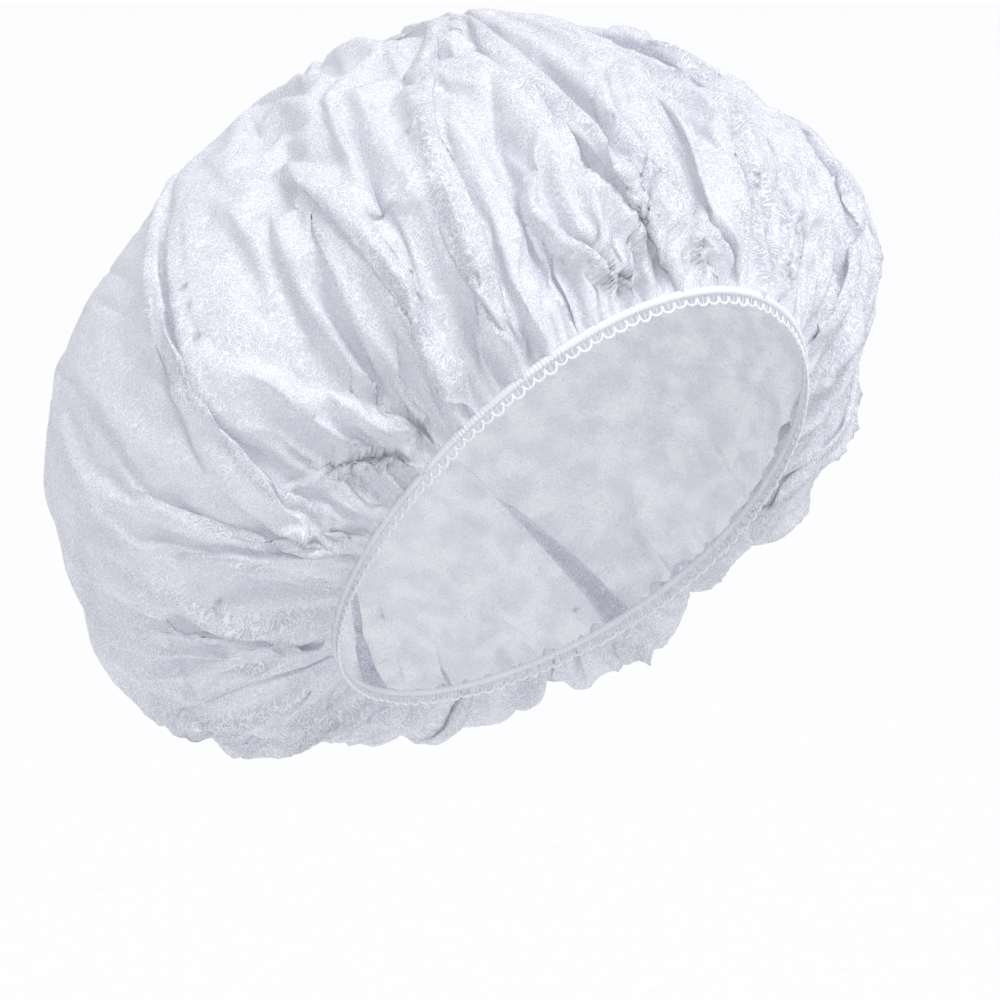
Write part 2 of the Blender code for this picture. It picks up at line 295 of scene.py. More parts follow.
def puff_factor(directions):
    """Swelling of the bag in each direction, as a share of its radius. Left and right are alike."""
    mirrored = directions.copy()
    mirrored[..., 0] = np.abs(mirrored[..., 0])
    total = np.zeros(directions.shape[:-1])
    for puff in PUFFS:
        middle = np.array(direction_to(math.radians(puff.around), math.radians(puff.raised)))
        apart = np.arccos(np.clip(mirrored @ middle, -1.0, 1.0))
        total += np.log1p(puff.height * np.exp(-(apart / (PUFF_SPREAD * puff.spread)) ** 2))
    return np.expm1(total)


def bag(around, share):
    """Smooth bag without folds. Share runs from 0 at the band to 1 at the top."""
    start = band_line(around) - band_frame(around)[0] * CLOTH_START - CENTRE
    start_radius = np.linalg.norm(start, axis=-1)
    start_direction = start / start_radius[..., None]
    sweep = np.arccos(np.clip(start_direction @ TOP, -1.0, 1.0))
    low = (np.sin((1 - share) * sweep) / np.sin(sweep))[..., None]
    high = (np.sin(share * sweep) / np.sin(sweep))[..., None]
    direction = low * start_direction + high * TOP
    cosine = np.cos(around)
    reach = (REACH_SIDE + (REACH_FRONT - REACH_NAPE) / 2 * cosine
             + ((REACH_FRONT + REACH_NAPE) / 2 - REACH_SIDE) * cosine ** 2)
    pinch = np.clip(1 - share / reach, 0.0, 1.0) ** REACH_POWER
    shortfall = 1 - start_radius / bag_radius(start_direction)
    radius = bag_radius(direction) * (1 - shortfall * pinch)
    radius = radius * (1 + (1 - pinch) * puff_factor(direction))
    return CENTRE + direction * radius[..., None]


def bag_normal(around, share):
    """Direction out of the smooth bag."""
    step = 0.003
    held = np.clip(share, step, 1 - 2 * step)
    across = bag(around + step, held) - bag(around - step, held)
    upward = bag(around, held + step) - bag(around, held - step)
    return unit(np.cross(across, upward))


def along_and_beside(fold, around, share):
    """How far each point is along a fold or tuck, 0 and 1 at its ends, and the angle from it."""
    travel = (share - fold.low) / (fold.high - fold.low)
    held = np.clip(travel, 0.0, 1.0)
    middle = fold.at_band + (fold.at_top - fold.at_band) * held + fold.bow * np.sin(math.pi * held)
    offset = (around - np.radians(middle) + math.pi) % (2 * math.pi) - math.pi
    return travel, offset


def fold_relief(around, share):
    """Long charted folds, each a ridge with a shallow trough on both sides."""
    total = np.zeros(np.shape(share))
    for fold in FOLDS:
        travel, offset = along_and_beside(fold, around, share)
        across = np.abs(offset) / (FOLD_WIDTH * fold.width * (1 + fold.lean * np.sign(offset)))
        trough = np.exp(-((across - TROUGH_PLACE) / TROUGH_SPREAD) ** 2)
        ridge = np.clip(1 - across, 0.0, 1.0) - TROUGH_SHARE * trough
        along = (smooth_step((travel + FOLD_LEAD) / FOLD_SWELL)
                 * smooth_step((FOLD_OVERRUN - travel) / FOLD_FALL))
        total += FOLD_HEIGHT * fold.height * ridge * along * smooth_step(share / FOLD_RISE)
    return total


def slow_waves(waves, around, shift, level):
    """A level with waves added to it."""
    return sum((wave.height * np.sin(wave.count * around + wave.turns * shift) for wave in waves), level)


def pleat_relief(around, share):
    """Sharp ridges that leave the hem, close together at first and then fewer."""
    total = np.zeros(np.shape(share))
    for pleat in PLEATS:
        drift = slow_waves(SPACING_WAVES, around, pleat.shift, 0.0)
        reach = (pleat.reach * slow_waves(REACH_WAVES, around, pleat.shift, 1.0)
                 * (1 - NAPE_CALM * nape_share(around)))
        fade = smooth_step((reach - share) / (PLEAT_FALL * reach))
        fade *= PLEAT_RIM_SHARE + (1 - PLEAT_RIM_SHARE) * smooth_step(share / PLEAT_RIM_RISE)
        wave = np.abs(np.sin((pleat.count * around + pleat.shift) / 2 + drift))
        total += pleat.height * fade * (1 - 2 * wave)
    return total


def round_point(ring, sector, step):
    """Number of a point of a round, by its ring, its sixth of the ring and its step in that sixth."""
    return 1 + 3 * ring * (ring - 1) + (sector * ring + step) % (6 * ring) if ring else 0


def cut_round(rings, radius):
    """Flat round of cloth as rings of points, six more in each ring outward, with its triangles."""
    points = [(0.0, 0.0)]
    for ring in range(1, rings + 1):
        turn = 2 * math.pi * np.arange(6 * ring) / (6 * ring)
        points.extend(zip(radius * ring / rings * np.cos(turn), radius * ring / rings * np.sin(turn)))
    faces = []
    for ring in range(1, rings + 1):
        for sector in range(6):
            for step in range(ring):
                here = round_point(ring, sector, step)
                inner = round_point(ring - 1, sector, step)
                faces.append((here, round_point(ring, sector, step + 1), inner))
                if step:
                    faces.append((here, inner, round_point(ring - 1, sector, step - 1)))
    return np.array(points), faces


Tuck = namedtuple("Tuck", "at_band at_top bow low high spread lift strength")


def list_tucks():
    """Every place where the cloth doubles over: the long folds, then short ones from a fixed seed."""
    tucks = []
    for number, fold in enumerate(FOLDS):
        side = math.copysign(1.0, fold.lean) if fold.lean else (-1.0) ** number
        tucks.append(Tuck(fold.at_band, fold.at_top, fold.bow, fold.low, fold.high,
                          FOLD_WIDTH * fold.width * FOLD_TUCK_SPREAD, side * FOLD_TUCK_LIFT,
                          FOLD_TUCK_STRENGTH + FOLD_TUCK_GAIN * fold.height))
    rng = np.random.default_rng(SMALL_TUCK_SEED)
    for number in range(SMALL_TUCKS):
        jitter = rng.uniform(-SMALL_TUCK_JITTER, SMALL_TUCK_JITTER)
        middle = (number + jitter) * 360 / SMALL_TUCKS
        drift = rng.uniform(-SMALL_TUCK_DRIFT, SMALL_TUCK_DRIFT)
        reach = rng.uniform(*SMALL_TUCK_REACH) * (1 - NAPE_CALM * nape_share(math.radians(middle)))
        tucks.append(Tuck(middle, middle + drift, rng.uniform(-SMALL_TUCK_BOW, SMALL_TUCK_BOW), 0.0, reach,
                          math.radians(rng.uniform(*SMALL_TUCK_SPREAD)),
                          rng.choice((-1.0, 1.0)) * SMALL_TUCK_LIFT, rng.uniform(*SMALL_TUCK_STRENGTH)))
    return tucks


def double_over(around, share):
    """Moves the cloth sideways so that it runs on, back and on again at each tuck, in three layers.

    A tuck fades out where an earlier one has taken the room. Returns the angle that each point then lies
    at, its height within the layers, and the room left there, from 1 on single cloth to 0 on a tuck.
    """
    shift = np.zeros(np.shape(share))
    height = np.zeros(np.shape(share))
    room = np.ones(np.shape(share))
    for tuck in list_tucks():
        travel, offset = along_and_beside(tuck, around, share)
        spread = tuck.spread * (1 - TUCK_TAPER * np.clip(travel, 0.0, 1.0))
        across = np.clip(offset / spread, -1.0, 1.0)
        along = (smooth_step((travel + FOLD_LEAD) / FOLD_SWELL)
                 * smooth_step((TUCK_OVERRUN - travel) / TUCK_FALL))
        along *= RIM_TUCK_SHARE + (1 - RIM_TUCK_SHARE) * smooth_step(share / RIM_TUCK_RISE)
        along *= room
        room *= 1 - along * smooth_step(2 - np.abs(offset) / spread)
        wave = np.sin(math.pi * across)
        shift -= TUCK_OVERLAP * tuck.strength * along * spread * wave
        height -= tuck.lift * np.sqrt(along) * wave
    return around + shift, height, room


def crease_relief(flat, radius):
    """Crisp straight creases over the flat cut, most of them pointing toward its middle."""
    rng = np.random.default_rng(CREASE_SEED)
    total = np.zeros(len(flat))
    for _ in range(CREASES):
        middle = rng.uniform(-radius, radius, 2)
        heading = math.atan2(middle[1], middle[0]) + rng.normal(0.0, CREASE_SPREAD)
        line = np.array([math.cos(heading), math.sin(heading)])
        offset = flat - middle
        along = np.abs(offset @ line) / rng.uniform(*CREASE_LENGTH)
        across = np.abs(offset @ np.array([-line[1], line[0]]))
        ridge = np.clip(1 - across / rng.uniform(*CREASE_WIDTH), 0.0, 1.0)
        total += rng.choice((-1.0, 1.0)) * rng.uniform(*CREASE_HEIGHT) * ridge * smooth_step(2 - 2 * along)
    return total


def gathered_shape(flat, radius):
    """Where each point of the flat round starts: on the folded bag, with the rim in the hem."""
    away = np.linalg.norm(flat, axis=1) / radius
    placed = flat / radius + (1 - away)[:, None] * CUT_SLIDE
    rim = away > 1 - 1e-6
    share = np.where(rim, 0.0, 1 - np.clip(np.linalg.norm(placed, axis=1), 0.0, 1.0))
    cut_angle = even_angles(np.arctan2(placed[:, 1], placed[:, 0]) / (2 * math.pi))
    around, layer, single = double_over(cut_angle, share)
    relief = fold_relief(around, share) + pleat_relief(around, share) + layer
    relief += crease_relief(flat, radius) * smooth_step(share / CREASE_RISE) * single
    relief[rim] *= RIM_RELIEF
    shape = bag(around, share) + bag_normal(around, share) * relief[:, None]
    shape[rim] += band_frame(around[rim])[0] * RIM_SINK
    return shape, share


def refined(values, rings):
    """Values on the points of a round, carried to the points of a round with twice as many rings."""
    first = [0]
    second = [0]
    for ring in range(1, 2 * rings + 1):
        for sector in range(6):
            for step in range(ring):
                first.append(round_point(ring // 2, sector, step // 2))
                second.append(round_point((ring + 1) // 2, sector, (step + 1) // 2))
    return (values[first] + values[second]) / 2


def mesh_object(name, points, faces):
    mesh = bpy.data.meshes.new(name)
    mesh.from_pydata([tuple(map(float, point)) for point in points], [], faces)
    item = bpy.data.objects.new(name, mesh)
    bpy.context.scene.collection.objects.link(item)
    return item


def positions(mesh):
    values = np.empty(len(mesh.vertices) * 3, np.float32)
    mesh.vertices.foreach_get("co", values)
    return values.reshape(-1, 3).astype(float)


def settle_cloth(item, flat, share, settings):
    """Runs Cloth from the gathered shape with the flat cut as its rest shape, and returns the points."""
    item.shape_key_add(name="gathered")
    cut = item.shape_key_add(name="cut")
    rest = np.zeros((len(flat), 3), np.float32)
    rest[:, :2] = flat
    cut.data.foreach_set("co", rest.ravel())
    hold = item.vertex_groups.new(name="hold")
    rim = share < 1e-6
    hold.add([int(index) for index in np.where(rim)[0]], 1.0, "REPLACE")
    hold.add([int(index) for index in np.where(~rim)[0]], settings.form_hold, "REPLACE")
    # Cloth reads the rest shape only after a modifier that rebuilds the mesh. This weld joins nothing.
    weld = item.modifiers.new("keep", "WELD")
    weld.merge_threshold = 1e-6
    cloth = item.modifiers.new("settle", "CLOTH")
    fabric = cloth.settings
    fabric.rest_shape_key = cut
    fabric.vertex_group_mass = hold.name
    fabric.pin_stiffness = 1.0
    fabric.quality = 5
    fabric.mass = 0.1
    fabric.air_damping = 1.0
    fabric.tension_stiffness = settings.stiffness
    fabric.compression_stiffness = settings.stiffness
    fabric.shear_stiffness = settings.stiffness / 3
    fabric.bending_stiffness = settings.bending
    fabric.effector_weights.gravity = 0.0
    cloth.collision_settings.use_collision = False
    cloth.point_cache.frame_start = 1
    cloth.point_cache.frame_end = settings.frames
    for number in range(1, settings.frames + 1):
        bpy.context.scene.frame_set(number)
    settled = positions(item.evaluated_get(bpy.context.evaluated_depsgraph_get()).data)
    bpy.context.scene.frame_set(1)
    item.modifiers.clear()
    item.shape_key_clear()
    return settled


def neighbour_mean(values, pairs, count, rounds):
    """Values averaged with their neighbours' a number of times."""
    both = np.concatenate([pairs, pairs[:, ::-1]])
    valence = np.bincount(both[:, 0], minlength=count)[:, None]
    for _ in range(rounds):
        total = np.stack([np.bincount(both[:, 0], values[both[:, 1], axis], count)
                          for axis in range(3)], axis=1)
        values = 0.5 * values + 0.5 * total / valence
    return values


def keep_outline(start, settled, pairs, share, settings):
    """Takes back the broad drift of the settled cloth, so that the bag keeps its measured outline."""
    drift = neighbour_mean(settled - start, pairs, len(start), settings.outline_rounds)
    fade = smooth_step(share / OUTLINE_RISE)[:, None]
    return settled - drift * fade * settings.outline_share


def finish_mesh(item, material):
    """Turns what the modifiers make into a plain mesh on the same object."""
    shaped = item.evaluated_get(bpy.context.evaluated_depsgraph_get())
    plain = bpy.data.meshes.new_from_object(shaped)
    item.modifiers.clear()
    item.data = plain
    item.data.name = item.name
    plain.materials.clear()
    plain.materials.append(material)


def loop_object(name, rise):
    """Closed line above the middle line, with the direction down kept on its points."""
    around = even_angles(np.arange(LOOP_POINTS) / LOOP_POINTS)
    down = band_frame(around)[0]
    item = mesh_object(name, band_line(around) - down * rise, [])
    item.data.edges.add(LOOP_POINTS)
    first = np.arange(LOOP_POINTS)
    ends = np.stack([first, (first + 1) % LOOP_POINTS], axis=1)
    item.data.edges.foreach_set("vertices", ends.ravel().astype(np.int32))
    layer = item.data.attributes.new("down", "FLOAT_VECTOR", "POINT")
    layer.data.foreach_set("vector", down.astype(np.float32).ravel())
    item.data.update()
    return item


def feed(tree, socket, value):
    """Links a socket to another one, or sets it to a value."""
    if isinstance(value, bpy.types.NodeSocket):
        tree.links.new(value, socket)
    else:
        socket.default_value = value


def put(tree, kind, inputs=(), **settings):
    """Adds a node with its settings, and feeds its inputs by their names."""
    node = tree.nodes.new(kind)
    for label, value in settings.items():
        setattr(node, label, value)
    for label, value in dict(inputs).items():
        socket = next(one for one in node.inputs if one.name == label and one.enabled)
        feed(tree, socket, value)
    return node


def calc(tree, operation, *values, clamp=False):
    """Adds a Math node on values or sockets and returns its result."""
    node = put(tree, "ShaderNodeMath", operation=operation, use_clamp=clamp)
    for socket, value in zip(node.inputs, values):
        feed(tree, socket, value)
    return node.outputs[0]


def add_vectors(tree, first, second):
    node = put(tree, "ShaderNodeVectorMath", operation="ADD")
    feed(tree, node.inputs[0], first)
    feed(tree, node.inputs[1], second)
    return node.outputs["Vector"]


def scale_vector(tree, vector, factor):
    node = put(tree, "ShaderNodeVectorMath", {"Scale": factor}, operation="SCALE")
    feed(tree, node.inputs[0], vector)
    return node.outputs["Vector"]


def mix_shaders(tree, factor, first, last):
    node = put(tree, "ShaderNodeMixShader", {"Fac": factor})
    feed(tree, node.inputs[1], first)
    feed(tree, node.inputs[2], last)
    return node.outputs["Shader"]


def new_tree(name, sizes):
    """Geometry tree with a geometry in and out and one named input for each size."""
    tree = bpy.data.node_groups.new(name, "GeometryNodeTree")
    tree.interface.new_socket("Geometry", in_out="INPUT", socket_type="NodeSocketGeometry")
    tree.interface.new_socket("Geometry", in_out="OUTPUT", socket_type="NodeSocketGeometry")
    for label, kind in sizes:
        tree.interface.new_socket(label, in_out="INPUT", socket_type="NodeSocket" + kind)
    start = tree.nodes.new("NodeGroupInput")
    end = tree.nodes.new("NodeGroupOutput")
    return tree, start.outputs, end.inputs


def run_tree(item, tree, sizes):
    """Adds a geometry tree to an object and sets the tree's inputs by their names."""
    modifier = item.modifiers.new(tree.name, "NODES")
    modifier.node_group = tree
    for socket in tree.interface.items_tree:
        if socket.in_out == "INPUT" and socket.name in sizes:
            modifier[socket.identifier] = sizes[socket.name]


def place_on_loop(tree, start, unit_mesh, count, scale=None):
    """Puts one unit at even steps round the loop, with its X along the loop and its Z away from down."""
    line = put(tree, "GeometryNodeMeshToCurve", {"Mesh": start["Geometry"]})
    steps = put(tree, "GeometryNodeResampleCurve", {"Curve": line.outputs["Curve"], "Count": count})
    down = put(tree, "GeometryNodeInputNamedAttribute", {"Name": "down"}, data_type="FLOAT_VECTOR")
    raised = scale_vector(tree, down.outputs["Attribute"], -1.0)
    along = put(tree, "GeometryNodeInputTangent")
    turn = put(tree, "FunctionNodeAxesToRotation",
               {"Primary Axis": along.outputs["Tangent"], "Secondary Axis": raised},
               primary_axis="X", secondary_axis="Z")
    inputs = {"Points": steps.outputs["Curve"], "Instance": unit_mesh, "Rotation": turn.outputs["Rotation"]}
    if scale is not None:
        inputs["Scale"] = scale
    return put(tree, "GeometryNodeInstanceOnPoints", inputs).outputs["Instances"]


def close_tree(tree, geometry, start, end):
    """Makes the placed units one smooth mesh with its material, and ends the tree."""
    joined = put(tree, "GeometryNodeRealizeInstances", {"Geometry": geometry})
    smooth = put(tree, "GeometryNodeSetShadeSmooth", {"Geometry": joined.outputs["Geometry"]})
    coloured = put(tree, "GeometryNodeSetMaterial",
                   {"Geometry": smooth.outputs["Geometry"], "Material": start["Material"]})
    tree.links.new(coloured.outputs["Geometry"], end["Geometry"])


def point(tree, x=0.0, y=0.0, z=0.0):
    return put(tree, "ShaderNodeCombineXYZ", {"X": x, "Y": y, "Z": z}).outputs["Vector"]


def tube(tree, line, radius, sides):
    ring = put(tree, "GeometryNodeCurvePrimitiveCircle", {"Resolution": sides, "Radius": radius})
    return put(tree, "GeometryNodeCurveToMesh",
               {"Curve": line, "Profile Curve": ring.outputs["Curve"], "Fill Caps": True}).outputs["Mesh"]


def bent_line(tree, first, first_handle, last_handle, last, steps):
    return put(tree, "GeometryNodeCurvePrimitiveBezierSegment",
               {"Start": first, "Start Handle": first_handle, "End Handle": last_handle,
                "End": last, "Resolution": steps}).outputs["Curve"]


def random_between(tree, limits, seed, shift):
    return put(tree, "FunctionNodeRandomValue",
               {"Min": limits[0], "Max": limits[1],
                "Seed": calc(tree, "ADD", seed, float(shift))}).outputs[1]


# Shape of one scallop, in shares of its drop and pitch: how deep the handles of its cord hang and how wide
# they stand, each inner thread's place and the sideways run of its upper end, and how far the threads
# hang. Stretches are the least and most along the loop, out and down.
HANDLE_DROP = -1.27
HANDLE_WIDTH = 0.95
Strand = namedtuple("Strand", "place lean")
STRANDS = (Strand(-0.31, -0.10), Strand(-0.02, 0.06), Strand(0.28, 0.12))
STRAND_DROP = -0.97
STRAND_RISE = 0.9
SCALLOP_STRETCH = ((0.92, 1.12), (0.9, 1.1), (0.88, 1.10))


def scallop_tree():
    """Wavy cord at the outer edge, with fine threads that run across to it from the hem."""
    tree, start, end = new_tree("Scallops", (
        ("Count", "Int"), ("Pitch", "Float"), ("Drop", "Float"), ("Valley", "Float"),
        ("Cord Radius", "Float"), ("Thread Radius", "Float"), ("Seed", "Int"), ("Material", "Material")))
    half = calc(tree, "MULTIPLY", start["Pitch"], 0.5)
    back = calc(tree, "MULTIPLY", half, -1.0)
    valley = calc(tree, "MULTIPLY", start["Valley"], -1.0)
    deep = calc(tree, "MULTIPLY", start["Drop"], HANDLE_DROP)
    loop = bent_line(tree, point(tree, back, 0.0, valley),
                     point(tree, calc(tree, "MULTIPLY", back, HANDLE_WIDTH), 0.0, deep),
                     point(tree, calc(tree, "MULTIPLY", half, HANDLE_WIDTH), 0.0, deep),
                     point(tree, half, 0.0, valley), steps=14)
    parts = [tube(tree, loop, start["Cord Radius"], sides=7)]
    for strand in STRANDS:
        top = point(tree, calc(tree, "MULTIPLY", start["Pitch"], strand.place + strand.lean), 0.0, 0.0)
        low = point(tree, calc(tree, "MULTIPLY", start["Pitch"], strand.place), 0.0,
                    calc(tree, "MULTIPLY", start["Drop"], STRAND_DROP + STRAND_RISE * strand.place ** 2))
        line = put(tree, "GeometryNodeCurvePrimitiveLine", {"Start": top, "End": low})
        parts.append(tube(tree, line.outputs["Curve"], start["Thread Radius"], sides=5))
    unit_parts = tree.nodes.new("GeometryNodeJoinGeometry")
    for part in parts:
        tree.links.new(part, unit_parts.inputs["Geometry"])
    scale = point(tree, *(random_between(tree, stretch, start["Seed"], number)
                          for number, stretch in enumerate(SCALLOP_STRETCH)))
    placed = place_on_loop(tree, start, unit_parts.outputs["Geometry"], start["Count"], scale)
    close_tree(tree, placed, start, end)
    return tree


def stitch_tree():
    """Short slanting threads over the hem."""
    tree, start, end = new_tree("Hem stitches", (
        ("Count", "Int"), ("Width", "Float"), ("Slant", "Float"), ("Rise", "Float"),
        ("Thread Radius", "Float"), ("Seed", "Int"), ("Material", "Material")))
    lean = calc(tree, "MULTIPLY", start["Slant"], 0.5)
    back = calc(tree, "MULTIPLY", lean, -1.0)
    drop = calc(tree, "MULTIPLY", start["Width"], -1.0)
    outer = bent_line(tree, point(tree, back, 0.0, 0.0), point(tree, back, start["Rise"], 0.0),
                      point(tree, lean, start["Rise"], drop), point(tree, lean, 0.0, drop), steps=8)
    stitch = tube(tree, outer, start["Thread Radius"], sides=5)
    scale = point(tree, random_between(tree, STITCH_STRETCH, start["Seed"], 0), 1.0, 1.0)
    placed = place_on_loop(tree, start, stitch, start["Count"], scale)
    close_tree(tree, placed, start, end)
    return tree


def new_material(name):
    material = bpy.data.materials.new(name)
    material.use_nodes = True
    tree = material.node_tree
    tree.nodes.clear()
    output = tree.nodes.new("ShaderNodeOutputMaterial")
    return material, tree, output


def grain(tree, place, scale, detail, roughness, flat=False, shift=0.0):
    """Noise on a place, over a flat pattern or through space."""
    moved = add_vectors(tree, place, (shift, 0.7 * shift, 0.0))
    return put(tree, "ShaderNodeTexNoise",
               {"Vector": moved, "Scale": scale, "Detail": detail, "Roughness": roughness},
               noise_dimensions="2D" if flat else "3D").outputs["Fac"]


def ramp(tree, value, low, high, first=0.0, last=1.0):
    """Smooth step of a value from one range to another."""
    return put(tree, "ShaderNodeMapRange",
               {"Value": value, "From Min": low, "From Max": high, "To Min": first, "To Max": last},
               interpolation_type="SMOOTHSTEP").outputs["Result"]


def blend_colours(tree, factor, first, last):
    """Mixes two colours. A Mix node's colours are its inputs 6 and 7 and its output 2."""
    node = put(tree, "ShaderNodeMix", {"Factor": factor}, data_type="RGBA")
    feed(tree, node.inputs[6], (*first, 1.0))
    feed(tree, node.inputs[7], (*last, 1.0))
    return node.outputs[2]


def fibre_lines(tree, place, spacing, width, shift):
    """Curly fibres: the thin lines where a noise crosses its middle value."""
    field = grain(tree, place, 1 / spacing, detail=0.0, roughness=0.5, flat=True, shift=shift)
    distance = calc(tree, "ABSOLUTE", calc(tree, "SUBTRACT", field, 0.5))
    return ramp(tree, distance, 0.0, width / spacing, 1.0, 0.0)


# The web: swirls to a fibre's spacing, how far they bend a fibre in spacings, the other two layers'
# spacing as shares of the first, noise values of the thinnest and thickest spots, and the most hidden
FIBRE_SWIRL = 0.55
FIBRE_CURL = 1.6
FIBRE_LAYERS = (0.72, 1.35)
CLOUD_RANGE = (0.32, 0.68)
MOST_OPAQUE = 0.985


def nonwoven_material(look):
    """Thin pressed web of fibres. Its opacity, tone and relief all follow the fibres and the thin spots."""
    material, tree, output = new_material("nonwoven_cloth")
    flat = put(tree, "ShaderNodeUVMap", uv_map="cut")
    metres = put(tree, "ShaderNodeMapping",
                 {"Vector": flat.outputs["UV"], "Scale": (look.cut_diameter, look.cut_diameter, 1.0)})
    place = metres.outputs["Vector"]
    swirl = put(tree, "ShaderNodeTexNoise",
                {"Vector": place, "Scale": FIBRE_SWIRL / look.fibre_spacing, "Detail": 0.0},
                noise_dimensions="2D")
    curled = add_vectors(tree, place,
                         scale_vector(tree, swirl.outputs["Color"], FIBRE_CURL * look.fibre_spacing))
    raised = fibre_lines(tree, curled, look.fibre_spacing, look.fibre_width, shift=1.7)
    fibres = raised
    for number, share in enumerate(FIBRE_LAYERS, 2):
        layer = fibre_lines(tree, curled, look.fibre_spacing * share, look.fibre_width, shift=5.3 * number)
        fibres = calc(tree, "MAXIMUM", fibres, layer)
    cloud = grain(tree, place, 1 / look.cloud_size, detail=1.0, roughness=0.6, flat=True, shift=9.1)
    clouds = ramp(tree, cloud, *CLOUD_RANGE)
    edge = put(tree, "ShaderNodeAttribute", attribute_name="rim")
    thick = calc(tree, "ADD", look.opacity - 0.5 * look.cloud_depth,
                 calc(tree, "MULTIPLY", clouds, look.cloud_depth))
    thick = calc(tree, "ADD", thick, calc(tree, "MULTIPLY", fibres, look.fibre_depth))
    thick = calc(tree, "ADD", thick, calc(tree, "MULTIPLY", edge.outputs["Fac"], look.rim_depth), clamp=True)
    solid = calc(tree, "MINIMUM", thick, MOST_OPAQUE)
    tone = blend_colours(tree, fibres, look.tint, look.fibre_tint)
    relief = calc(tree, "MULTIPLY", raised, look.fibre_height)
    bump = put(tree, "ShaderNodeBump", {"Height": relief, "Distance": 1.0, "Strength": 1.0})
    surface = put(tree, "ShaderNodeBsdfPrincipled",
                  {"Base Color": tone, "Roughness": 0.62, "Specular IOR Level": 0.35, "IOR": 1.49,
                   "Normal": bump.outputs["Normal"]})
    through = put(tree, "ShaderNodeBsdfTranslucent", {"Color": tone, "Normal": bump.outputs["Normal"]})
    lit = mix_shaders(tree, look.through_light, surface.outputs["BSDF"], through.outputs["BSDF"])
    clear = put(tree, "ShaderNodeBsdfTransparent").outputs["BSDF"]
    feed(tree, output.inputs["Surface"], mix_shaders(tree, solid, clear, lit))
    return material


# Noise values between which threads and paper change their tone, their darkest tone as a share of the tint
# (on a thread a painted shade in its hollows, on the paper random flecks), the roughness added in a thread's
# hollows and the paper's flecks in a metre
GRAIN_RANGE = (0.3, 0.7)
THREAD_HOLLOW_SHADE = 0.90
THREAD_DULLING = 0.12
PAPER_SHADE = 0.985
PAPER_FLECKS = 90.0


def thread_material(name, tint, roughness, strand):
    """Twisted filament thread: fine ridges a strand apart, a soft gloss and a slight painted shade that
    darkens the tone in the hollows.
    """
    material, tree, output = new_material(name)
    place = put(tree, "ShaderNodeTexCoord").outputs["Object"]
    twist = grain(tree, place, 1 / strand, detail=2.0, roughness=0.6)
    # Painted shade: the tone darkens where the twist noise is low, in the same hollows that the bump makes.
    tone = blend_colours(tree, ramp(tree, twist, *GRAIN_RANGE), [THREAD_HOLLOW_SHADE * part for part in tint], tint)
    bump = put(tree, "ShaderNodeBump", {"Height": calc(tree, "MULTIPLY", twist, strand), "Distance": 0.35})
    rough = ramp(tree, twist, *GRAIN_RANGE, roughness + THREAD_DULLING, roughness)
    surface = put(tree, "ShaderNodeBsdfPrincipled",
                  {"Base Color": tone, "Roughness": rough, "Specular IOR Level": 0.5,
                   "Subsurface Weight": 0.15, "Subsurface Scale": 0.001, "Normal": bump.outputs["Normal"]})
    tree.links.new(surface.outputs["BSDF"], output.inputs["Surface"])
    return material


def floor_material(tint):
    """Matt studio paper with a faint grain."""
    material, tree, output = new_material("studio_paper")
    place = put(tree, "ShaderNodeTexCoord").outputs["Object"]
    fleck = grain(tree, place, PAPER_FLECKS, detail=1.0, roughness=0.6)
    tone = blend_colours(tree, ramp(tree, fleck, *GRAIN_RANGE), [PAPER_SHADE * part for part in tint], tint)
    surface = put(tree, "ShaderNodeBsdfPrincipled", {"Base Color": tone, "Roughness": 0.9})
    tree.links.new(surface.outputs["BSDF"], output.inputs["Surface"])
    return material


def length(name, description, default, least=0.0):
    return FloatProperty(name=name, description=description, default=default, min=least, unit="LENGTH")


def portion(name, description, default):
    return FloatProperty(name=name, description=description, default=default, min=0.0, max=1.0)


def angle(name, description, degrees):
    return FloatProperty(name=name, description=description, default=math.radians(degrees),
                         subtype="ANGLE")


def colour(name, description, default):
    return FloatVectorProperty(name=name, description=description, default=default, size=3,
                               subtype="COLOR", min=0.0, max=1.0)


class CapStageSizes(bpy.types.PropertyGroup):
    azimuth: angle("Azimuth", "Camera's turn from the front of the cap", -36)
    elevation: angle("Elevation", "Camera's rise above the level", 6)
    distance: length("Distance", "From the camera to the point it turns round", 1.5, 0.3)
    focal_length: FloatProperty(name="Focal length", description="Lens of the camera in millimetres",
                                default=168.9, min=10.0)
    shift_x: FloatProperty(name="Shift across", description="Frame shift across", default=-0.024)
    shift_y: FloatProperty(name="Shift up", description="Frame shift up", default=-0.067)
    floor_drop: length("Floor drop", "Floor below the lowest point of the cap", 0.55)
    floor_radius: length("Floor radius", "Reach of the floor", 60.0, 1.0)
    floor_tint: colour("Floor", "Colour of the floor", (0.785, 0.785, 0.79))
    sky_light: FloatProperty(name="Sky light", description="Strength of the even light",
                             default=0.72, min=0.0)
    backdrop: FloatProperty(name="Backdrop", description="Brightness of the studio beyond the floor",
                            default=1.0, min=0.0)
    key_light: FloatProperty(name="Key light", description="Strength of the soft main light",
                             default=2.3, min=0.0)
    key_azimuth: angle("Key azimuth", "Turn of the main light from the front", -8)
    key_elevation: angle("Key elevation", "Rise of the main light", 50)
    key_softness: angle("Key softness", "Angle that the main light fills", 28)


